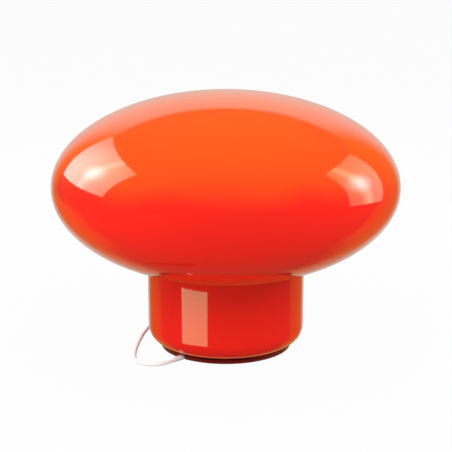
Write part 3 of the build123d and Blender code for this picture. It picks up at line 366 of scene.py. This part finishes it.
opal_globe = soft_finish(
    "opal_globe", (0.90, 0.89, 0.85), (0.86, 0.85, 0.80), 30.0, 0.20, 0.00001
)
cap_aluminium = metal_finish(
    "cap_aluminium", (0.80, 0.80, 0.81), (0.66, 0.66, 0.67), 130.0, 0.30, (1.0, 1.0, 0.2)
)
cap_black_glass = soft_finish(
    "cap_black_glass", (0.022, 0.020, 0.026), (0.012, 0.011, 0.014), 120.0, 0.10, 0.00001
)
soldered = metal_finish("soldered_tip", (0.68, 0.68, 0.69), (0.50, 0.50, 0.52), 260.0, 0.40)
clear_stem = soft_finish(
    "stem_glass", (0.72, 0.76, 0.74), (0.64, 0.70, 0.67), 60.0, 0.08, 0.00001
)
drawn_wire = metal_finish("drawn_wire", (0.36, 0.36, 0.37), (0.24, 0.24, 0.25), 300.0, 0.35)
dress(opal_globe, "bulb_glass")
dress(cap_aluminium, "bulb_cap")
dress(cap_black_glass, "bulb_insulator")
dress(soldered, "bulb_contact")
dress(clear_stem, "bulb_stem")
dress(drawn_wire, "bulb_filament")


# Glass body: shade and neck are blown in one piece, of orange-red glass cased over opal, and fire
# polished. It stands loose on the pan, over the clips, by its in-turned foot.

shade_radius = 0.2250
shade_half_height = 0.1207
neck_radius = 0.1028
neck_height = 0.1024
neck_round = 0.0229
crease_round = 0.0025
glass_wall = 0.0040
mouth_radius = 0.0620
foot_height = 0.0065
crease_height = foot_height + neck_height
shade_middle = crease_height + shade_half_height * sqrt(1 - (neck_radius / shade_radius) ** 2)
cuts_round = 288
shade_cuts, crease_cuts, neck_cuts, foot_cuts, sole_cuts, lip_cuts = 110, 8, 22, 18, 4, 5
inner_shade_cuts, inner_neck_cuts, inner_foot_cuts = 50, 6, 10
search_cuts = 4000
search_from = -pi / 2 + 0.6
slow_wave, fast_wave = 0.00007, 0.00005
glass_top = 0.337
border_bend = 0.030


def ellipse_arc(inset, start, end, count):
    """Radius and height along the shade's ellipse from one angle to another, inset by a wall."""
    angle = np.linspace(start, end, count)
    return (
        (shade_radius - inset) * np.cos(angle),
        shade_middle + (shade_half_height - inset) * np.sin(angle),
    )


def round_arc(middle_r, middle_z, radius, start, end, count):
    """Radius and height along a circular arc."""
    angle = np.linspace(start, end, count)
    return middle_r + radius * np.cos(angle), middle_z + radius * np.sin(angle)


def glass_profile():
    """The glass's outline from its top, down the outside to the foot's melted edge, and up the
    inside to the top. A small arc that touches the neck's line and the ellipse rounds the hollow.
    The number of points on the outside comes with it."""
    neck_inner = neck_radius - glass_wall
    turn_r, turn_z = neck_radius - neck_round, foot_height + neck_round
    lip_r, lip_z = mouth_radius + glass_wall / 2, foot_height + glass_wall / 2
    angle = np.linspace(search_from, 0, search_cuts)
    out_r = shade_half_height * np.cos(angle)
    out_z = shade_radius * np.sin(angle)
    size = np.hypot(out_r, out_z)
    off_r = shade_radius * np.cos(angle) + crease_round * out_r / size
    off_z = shade_middle + shade_half_height * np.sin(angle) + crease_round * out_z / size
    turn = np.interp(neck_radius + crease_round, off_r, angle)
    hollow_z = np.interp(neck_radius + crease_round, off_r, off_z)
    touch = np.arctan2(shade_radius * sin(turn), shade_half_height * cos(turn)) + pi
    outside = [
        ellipse_arc(0, pi / 2, turn, shade_cuts),
        round_arc(neck_radius + crease_round, hollow_z, crease_round, touch, pi, crease_cuts),
        (np.full(neck_cuts, neck_radius), np.linspace(hollow_z, turn_z, neck_cuts)),
        round_arc(turn_r, turn_z, neck_round, 0, -pi / 2, foot_cuts),
        (np.linspace(turn_r, lip_r, sole_cuts), np.full(sole_cuts, foot_height)),
        round_arc(lip_r, lip_z, glass_wall / 2, -pi / 2, -pi, lip_cuts),
    ]
    inner_start = -np.arccos(neck_inner / (shade_radius - glass_wall))
    inner_crease = shade_middle + (shade_half_height - glass_wall) * sin(inner_start)
    inside = [
        round_arc(lip_r, lip_z, glass_wall / 2, -pi, -3 * pi / 2, lip_cuts),
        (np.linspace(lip_r, turn_r, sole_cuts), np.full(sole_cuts, foot_height + glass_wall)),
        round_arc(turn_r, turn_z, neck_round - glass_wall, -pi / 2, 0, inner_foot_cuts),
        (np.full(inner_neck_cuts, neck_inner), np.linspace(turn_z, inner_crease, inner_neck_cuts)),
        ellipse_arc(glass_wall, inner_start, pi / 2, inner_shade_cuts),
    ]
    outline = [np.column_stack(stretch) for stretch in outside]
    outside_count = sum(len(stretch) - 1 for stretch in outline)
    outline += [np.column_stack(stretch) for stretch in inside]
    chain = np.vstack([outline[0][:1]] + [stretch[1:] for stretch in outline])
    return chain, outside_count


def turned_glass(name):
    """Surface of revolution: radius times the cosine and sine of the angle round the axis, over a
    grid of outline and angle. The radius gains a smooth wave of a tenth of a millimetre, as mouth
    blown glass has, which dies out at both ends of the outline."""
    chain, outside_count = glass_profile()
    rings = chain[1:-1]
    angle = np.linspace(0, 2 * pi, cuts_round, endpoint=False)[None, :]
    r, z = rings[:, :1], rings[:, 1:]
    fade = np.clip(r / shade_radius, 0, 1) * np.clip((z - foot_height) / neck_round, 0, 1)
    wave = slow_wave * np.sin(3 * angle + 1.1 + 9 * z) + fast_wave * np.sin(5 * angle - 31 * z)
    radius = r + wave * fade
    height = np.broadcast_to(z, radius.shape)
    places = np.stack([radius * np.cos(angle), radius * np.sin(angle), height], axis=-1)
    places = np.vstack([places.reshape(-1, 3), [[0, 0, chain[0, 1]], [0, 0, chain[-1, 1]]]])
    count = len(rings)
    corner = np.arange(count * cuts_round).reshape(count, cuts_round)
    after = np.roll(corner, -1, axis=1)
    quads = np.stack([corner[:-1], corner[1:], after[1:], after[:-1]], axis=-1).reshape(-1, 4)
    top, inner_top = count * cuts_round, count * cuts_round + 1
    cap = np.stack([np.full(cuts_round, top), corner[0], after[0]], axis=-1)
    inner_cap = np.stack([np.full(cuts_round, inner_top), after[-1], corner[-1]], axis=-1)
    body = bpy.data.meshes.new(name)
    body.from_pydata(places.tolist(), [], cap.tolist() + quads.tolist() + inner_cap.tolist())
    layer = np.zeros(len(body.polygons), np.int32)
    layer[cuts_round + (outside_count - 1) * cuts_round:] = 1
    body.polygons.foreach_set("material_index", layer)
    body.polygons.foreach_set("use_smooth", np.ones(len(body.polygons), bool))
    body.update()
    return body


def cased_glass_and_painted_light():
    """Orange-red glass. Its colour follows the height: red on the neck and the lower half, orange
    over the widest line and paler at the top, which is partly the glass's own colour and partly
    painted light where the top is lit most. A darker red band in the hollow between neck and shade
    is painted shade, and the brightest red, on the shade's underside, is painted light. A broad
    noise bends the borders. The polish is a clear coat."""
    material = bpy.data.materials.new("orange_red_cased_glass")
    material.use_nodes = True
    nodes, links = material.node_tree.nodes, material.node_tree.links
    shader = nodes["Principled BSDF"]
    shader.inputs["Roughness"].default_value = 0.10
    shader.inputs["Specular IOR Level"].default_value = 1.0
    shader.inputs["Specular Tint"].default_value = (1.0, 0.33, 0.02, 1.0)
    shader.inputs["Coat Weight"].default_value = 1.0
    shader.inputs["Coat Roughness"].default_value = 0.015
    shader.inputs["Coat IOR"].default_value = 1.5
    shader.inputs["Sheen Weight"].default_value = 0.35
    shader.inputs["Sheen Roughness"].default_value = 0.30
    shader.inputs["Sheen Tint"].default_value = (1.0, 0.28, 0.05, 1.0)
    place = nodes.new("ShaderNodeTexCoord")
    split = nodes.new("ShaderNodeSeparateXYZ")
    drift = nodes.new("ShaderNodeTexNoise")
    drift.inputs["Scale"].default_value = 9.0
    drift.inputs["Detail"].default_value = 3.0
    bend = nodes.new("ShaderNodeMath")
    bend.operation = "MULTIPLY_ADD"
    bend.inputs[1].default_value = border_bend
    level = nodes.new("ShaderNodeMapRange")
    level.inputs["From Min"].default_value = border_bend / 2
    level.inputs["From Max"].default_value = glass_top + border_bend / 2
    tint = nodes.new("ShaderNodeValToRGB")
    # Colour stops by height. The dark stop at 0.36 is painted shade in the hollow, the bright one
    # at 0.50 is painted light on the underside, and the orange of the upper stops is partly painted
    # light.
    glass_and_painted_light_stops = [
        (0.00, (0.88, 0.0155, 0.0115)),
        (0.33, (0.90, 0.0155, 0.0115)),
        (0.36, (0.70, 0.0110, 0.0090)),
        (0.41, (0.96, 0.0170, 0.0120)),
        (0.50, (1.00, 0.0175, 0.0125)),
        (0.66, (0.92, 0.0165, 0.0125)),
        (0.70, (0.94, 0.0240, 0.0120)),
        (0.76, (0.97, 0.0720, 0.0100)),
        (0.87, (0.95, 0.086, 0.008)),
        (0.98, (0.93, 0.120, 0.010)),
    ]
    ramp = tint.color_ramp
    ramp.interpolation = "B_SPLINE"
    while len(ramp.elements) < len(glass_and_painted_light_stops):
        ramp.elements.new(0.5)
    for element, (position, colour) in zip(ramp.elements, glass_and_painted_light_stops):
        element.position = position
        element.color = (*colour, 1.0)
    links.new(place.outputs["Object"], split.inputs["Vector"])
    links.new(place.outputs["Object"], drift.inputs["Vector"])
    links.new(drift.outputs["Fac"], bend.inputs[0])
    links.new(split.outputs["Z"], bend.inputs[2])
    links.new(bend.outputs["Value"], level.inputs["Value"])
    links.new(level.outputs["Result"], tint.inputs["Fac"])
    links.new(tint.outputs["Color"], shader.inputs["Base Color"])
    return material


opal_casing = soft_finish(
    "opal_casing", (0.88, 0.85, 0.80), (0.83, 0.79, 0.73), 20.0, 0.25, 0.00002, coat=0.5
)
glass = bpy.data.objects.new("glass_body", turned_glass("glass_body"))
bpy.context.scene.collection.objects.link(glass)
glass.data.materials.append(cased_glass_and_painted_light())
glass.data.materials.append(opal_casing)
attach(glass, "glass")
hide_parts("glass_shade")


# Studio: a wide white floor that keeps the lamp's soft shadow, six soft lamps, and what the glass
# mirrors: a pale sweep behind, a soft box on each side, a card at the left front, and a glowing
# ring on the floor round the pan, which puts a painted reflection on the glass's foot.

floor_half = 15.0
floor_paint = (0.55, 0.55, 0.55)
floor_glow = 0.965
air_light = 0.27


def stage_mesh(name, places, faces, material):
    """Object of the studio with a mesh of these places and faces, linked to the scene."""
    mesh = bpy.data.meshes.new(name)
    mesh.from_pydata(places, [], faces)
    mesh.materials.append(material)
    piece = bpy.data.objects.new(name, mesh)
    bpy.context.scene.collection.objects.link(piece)
    return piece


def studio_sheet(name, corners, material):
    """Flat sheet between four corners, which isn't part of the lamp."""
    piece = stage_mesh(name, corners, [(0, 1, 2, 3)], material)
    return piece


def only_mirrored(piece):
    """The piece lights nothing and shows only in polish and metal."""
    piece.visible_camera = False
    piece.visible_diffuse = False
    piece.visible_transmission = False
    piece.visible_volume_scatter = False
    piece.visible_shadow = False


def seen_straight(nodes, links):
    """One where a camera, glossy or transmission ray meets it, else nought."""
    path = nodes.new("ShaderNodeLightPath").outputs
    seen = combined(nodes, links, "MAXIMUM", path["Is Camera Ray"], path["Is Glossy Ray"])
    return combined(nodes, links, "MAXIMUM", seen, path["Is Transmission Ray"])


white_floor = bpy.data.materials.new("white_floor")
white_floor.use_nodes = True
nodes, links = white_floor.node_tree.nodes, white_floor.node_tree.links
paint = nodes["Principled BSDF"]
paint.inputs["Base Color"].default_value = (*floor_paint, 1.0)
paint.inputs["Roughness"].default_value = 0.9
paint.inputs["Specular IOR Level"].default_value = 0.0
white = nodes.new("ShaderNodeEmission")
share = combined(nodes, links, "MULTIPLY", seen_straight(nodes, links), floor_glow)
blend = nodes.new("ShaderNodeMixShader")
links.new(share, blend.inputs["Fac"])
links.new(paint.outputs["BSDF"], blend.inputs[1])
links.new(white.outputs["Emission"], blend.inputs[2])
links.new(blend.outputs["Shader"], nodes["Material Output"].inputs["Surface"])
floor = studio_sheet(
    "studio_floor",
    [(-floor_half, -floor_half, 0), (floor_half, -floor_half, 0), (floor_half, floor_half, 0),
     (-floor_half, floor_half, 0)],
    white_floor,
)
floor.visible_glossy = False

world = bpy.data.worlds.new("studio_air")
bpy.context.scene.world = world
world.use_nodes = True
nodes, links = world.node_tree.nodes, world.node_tree.links
level = ranged(nodes, links, seen_straight(nodes, links), 0.0, 1.0, air_light, 1.0)
links.new(level, nodes["Background"].inputs["Strength"])
nodes["Background"].inputs["Color"].default_value = (1.0, 1.0, 1.0, 1.0)


def soft_lamp(name, place, aim, width, height, watts):
    """A rectangular lamp that looks from its place at aim and shows in nothing."""
    lamp = bpy.data.objects.new(name, bpy.data.lights.new(name, "AREA"))
    lamp.data.shape = "RECTANGLE"
    lamp.data.size = width
    lamp.data.size_y = height
    lamp.data.energy = watts
    lamp.location = place
    away = [place[i] - aim[i] for i in range(3)]
    flat = sqrt(away[0] ** 2 + away[1] ** 2)
    lamp.rotation_euler = (np.arctan2(flat, away[2]), 0, np.arctan2(away[0], -away[1]))
    lamp.visible_camera = False
    lamp.visible_glossy = False
    bpy.context.scene.collection.objects.link(lamp)


lamp_aim = (0.0, 0.0, 0.18)
soft_lamp("left_lamp", (-1.3, -0.2, 0.95), lamp_aim, 1.2, 0.9, 11.5)
soft_lamp("right_lamp", (1.3, -0.3, 0.80), lamp_aim, 1.0, 0.9, 12.3)
soft_lamp("front_lamp", (0.0, -1.7, 1.60), lamp_aim, 1.6, 0.7, 23.5)
soft_lamp("low_left_lamp", (-0.9, -0.7, 0.10), (-0.1, 0.0, 0.03), 0.6, 0.16, 2.4)
soft_lamp("top_lamp", (0.0, 0.3, 2.0), lamp_aim, 1.8, 1.8, 14.5)
soft_lamp("back_lamp", (0.0, 1.8, 0.90), lamp_aim, 1.6, 0.9, 12.0)


# Mirrored pieces: a soft box at each side, a card at the neck, a glowing ring on the floor round
# the pan, and the room round them. A box's light falls off over these reaches from its bulb, in
# metres.

most_bounces = 1.5
near_fade = 1.12
hot_reach, plain_reach, line_reach = 0.26, 1.15, 0.13
corner_share, line_share = 0.25, 0.35
bulb_core, bulb_edge = 0.05, 0.32
bulb_colour = (1.0, 0.88, 1.0)


def glowing(name):
    """Bare emission material, with its tree and the socket of its strength."""
    material = bpy.data.materials.new(name)
    material.use_nodes = True
    nodes, links = material.node_tree.nodes, material.node_tree.links
    nodes.remove(nodes["Principled BSDF"])
    light = nodes.new("ShaderNodeEmission")
    links.new(light.outputs["Emission"], nodes["Material Output"].inputs["Surface"])
    return material, nodes, links, light.inputs["Strength"]


def first_mirrored(nodes, links, strength, near=None):
    """Strength that is there for light mirrored once and gone for light mirrored again, and also
    gone, where near is given, for glass that is farther away than that."""
    path = nodes.new("ShaderNodeLightPath")
    once = combined(nodes, links, "LESS_THAN", path.outputs["Ray Depth"], most_bounces)
    if near:
        close = ranged(nodes, links, path.outputs["Ray Length"], near, near * near_fade, 1.0, 0.0)
        once = combined(nodes, links, "MULTIPLY", once, close)
    return combined(nodes, links, "MULTIPLY", once, strength)


def soft_box(name, side, corners, hot_y, hot_z, hot, plain, colour):
    """Mirrored soft box at one side: brightest at its bulb, with a bright upright line through it,
    and falling off towards its corners."""
    material, nodes, links, power = glowing(name)
    place = nodes.new("ShaderNodeTexCoord")
    split = nodes.new("ShaderNodeSeparateXYZ")
    links.new(place.outputs["Object"], split.inputs["Vector"])
    across = combined(nodes, links, "SUBTRACT", split.outputs["Y"], hot_y)
    up = combined(nodes, links, "SUBTRACT", split.outputs["Z"], hot_z)
    off = combined(nodes, links, "ABSOLUTE", across, 0.0)
    squares = combined(
        nodes, links, "ADD",
        combined(nodes, links, "MULTIPLY", across, across),
        combined(nodes, links, "MULTIPLY", up, up),
    )
    distance = combined(nodes, links, "SQRT", squares, 0.0)
    glow = combined(
        nodes, links, "ADD",
        ranged(nodes, links, distance, 0.0, hot_reach, hot, 0.0),
        ranged(nodes, links, distance, 0.0, plain_reach, plain, plain * corner_share),
    )
    line = ranged(nodes, links, off, 0.0, line_reach, hot * line_share, 0.0)
    cooler = ranged(nodes, links, distance, bulb_core, bulb_edge, 0.0, 1.0)
    tone = colour_mix(nodes, links, bulb_colour, colour, cooler)
    links.new(tone, nodes["Emission"].inputs["Color"])
    links.new(combined(nodes, links, "ADD", glow, line), power)
    box = studio_sheet(name, [(side, y, z) for y, z in corners], material)
    only_mirrored(box)


soft_box(
    "left_soft_box", -1.0, [(1.30, 1.36), (-0.247, 1.305), (-0.235, 0.417), (0.75, 0.377)],
    0.185, 0.764, 4.2, 3.6, (1.0, 1.0, 0.98),
)
soft_box(
    "right_soft_box", 1.0, [(0.626, 1.08), (-0.154, 1.145), (-0.266, 0.203), (0.303, 0.092)],
    0.043, 0.588, 4.8, 1.65, (1.0, 1.0, 0.74),
)


# Card: part of an upright cylinder round the neck, between two angles from the front towards the
# left, in degrees. It shines inwards only.

card_radius = 0.175
card_top = 0.078
card_low = -0.006
card_from, card_to = 18.6, 47.7
card_cuts = 12
card_near = 0.089
card_strength = 2.75
card_colour = (0.33, 1.0, 0.84)
angles = np.radians(np.linspace(card_from, card_to, card_cuts))
low_edge = np.column_stack([-card_radius * np.sin(angles), -card_radius * np.cos(angles)])
card_rows = [np.column_stack([low_edge, np.full(card_cuts, z)]) for z in (card_low, card_top)]
card_faces = [(i, i + 1, i + card_cuts + 1, i + card_cuts) for i in range(card_cuts - 1)]
card_light, nodes, links, power = glowing("neck_card")
side = nodes.new("ShaderNodeNewGeometry")
inner = ranged(nodes, links, side.outputs["Backfacing"], 0.0, 1.0, card_strength, 0.0)
links.new(first_mirrored(nodes, links, inner, card_near), power)
nodes["Emission"].inputs["Color"].default_value = (*card_colour, 1.0)
neck_card = stage_mesh("neck_card", np.vstack(card_rows).tolist(), card_faces, card_light)
only_mirrored(neck_card)


# Ring: a glowing warm strip on the floor round the pan, which only the glass mirrors, as a painted
# reflection on its foot. It is wider and dimmer at both sides.

ring_inner = 0.0868
ring_outer = 0.0900
ring_flare = 0.025
ring_lift = 0.0006
ring_cuts = 96
ring_near = 0.05
ring_strength = (0.03, 0.08, 1.0, 0.5)
ring_colour = (1.0, 0.55, 0.20)
ring_light, nodes, links, power = glowing("glowing_floor_ring")
place = nodes.new("ShaderNodeTexCoord")
split = nodes.new("ShaderNodeSeparateXYZ")
links.new(place.outputs["Object"], split.inputs["Vector"])
aside = combined(nodes, links, "ABSOLUTE", split.outputs["X"], 0.0)
strength = ranged(nodes, links, aside, *ring_strength)
links.new(first_mirrored(nodes, links, strength, ring_near), power)
nodes["Emission"].inputs["Color"].default_value = (*ring_colour, 1.0)
turn = np.linspace(0, 2 * pi, ring_cuts, endpoint=False)
rings = [
    np.column_stack([size * np.cos(turn), size * np.sin(turn), np.full(ring_cuts, ring_lift)])
    for size in (ring_inner, ring_outer + ring_flare * np.cos(turn) ** 4)
]
ring_faces = [
    (i, i + ring_cuts, (i + 1) % ring_cuts + ring_cuts, (i + 1) % ring_cuts)
    for i in range(ring_cuts)
]
glowing_floor_ring = stage_mesh("glowing_floor_ring", np.vstack(rings).tolist(), ring_faces, ring_light)
only_mirrored(glowing_floor_ring)


# Mirrored room. Each number below is a part of a unit direction from the lamp: how far it goes up,
# to the right, or back among the level directions. The sweep is lit behind the lamp, wider on the
# floor and at the right, and turns from warm to white towards the back. The rest is dim.

room_radius = 8.0
room_columns, room_rows = 48, 25
sweep_edge = (0.70, 0.80, 0.0, 1.0)
sweep_top = (0.555, 0.615, 1.0, 0.0)
sweep_foot = (-0.80, -0.62, 0.0, 1.0)
wider_on_floor = (-0.30, -0.10, 0.42, 0.0)
wider_at_right = (0.0, 0.35, 0.0, 0.32)
right_heights = (-0.32, -0.10, 0.0, 1.0)
whiter_behind = (0.80, 0.95, 0.0, 1.0)
whiter_heights = (-0.62, -0.36, 0.25, 0.9)
dim_heights = (-0.10, 0.0, 0.0, 1.0)
warm_sweep, white_sweep = (0.42, 0.19, 0.035), (0.63, 0.63, 0.61)
dim_floor, dim_air = (0.17, 0.065, 0.04), (0.05, 0.05, 0.05)
room_light, nodes, links, power = glowing("mirrored_room")
place = nodes.new("ShaderNodeTexCoord")
aim = nodes.new("ShaderNodeVectorMath")
aim.operation = "NORMALIZE"
split = nodes.new("ShaderNodeSeparateXYZ")
links.new(place.outputs["Object"], aim.inputs[0])
links.new(aim.outputs["Vector"], split.inputs["Vector"])
rightward, height = split.outputs["X"], split.outputs["Z"]
height_squared = combined(nodes, links, "MULTIPLY", height, height)
flat = combined(
    nodes, links, "SQRT", combined(nodes, links, "SUBTRACT", 1.0, height_squared), 0.0
)
behind = combined(nodes, links, "DIVIDE", split.outputs["Y"], flat)
wide = combined(nodes, links, "ADD", behind, ranged(nodes, links, height, *wider_on_floor))
wider = combined(
    nodes, links, "MULTIPLY",
    ranged(nodes, links, rightward, *wider_at_right), ranged(nodes, links, height, *right_heights),
)
wide = combined(nodes, links, "ADD", wide, wider)
between = combined(
    nodes, links, "MULTIPLY",
    ranged(nodes, links, height, *sweep_top), ranged(nodes, links, height, *sweep_foot),
)
lit = combined(nodes, links, "MULTIPLY", ranged(nodes, links, wide, *sweep_edge), between)
whiter = combined(
    nodes, links, "MULTIPLY",
    ranged(nodes, links, behind, *whiter_behind), ranged(nodes, links, height, *whiter_heights),
)
bright = colour_mix(nodes, links, warm_sweep, white_sweep, whiter)
dim = colour_mix(nodes, links, dim_floor, dim_air, ranged(nodes, links, height, *dim_heights))
seen = colour_mix(nodes, links, dim, bright, lit)
links.new(seen, nodes["Emission"].inputs["Color"])
links.new(first_mirrored(nodes, links, 1.0), power)
turn, tilt = np.meshgrid(
    np.linspace(0, 2 * pi, room_columns, endpoint=False), np.linspace(-pi / 2, pi / 2, room_rows)
)
room_places = room_radius * np.stack(
    [np.cos(tilt) * np.cos(turn), np.cos(tilt) * np.sin(turn), np.sin(tilt)], axis=-1
)
corner = np.arange(room_rows * room_columns).reshape(room_rows, room_columns)
after = np.roll(corner, -1, axis=1)
room_faces = np.stack([corner[:-1], after[:-1], after[1:], corner[1:]], axis=-1).reshape(-1, 4)
room = stage_mesh(
    "mirrored_room", room_places.reshape(-1, 3).tolist(), room_faces.tolist(), room_light
)
only_mirrored(room)

bpy.context.scene.view_settings.view_transform = "Standard"
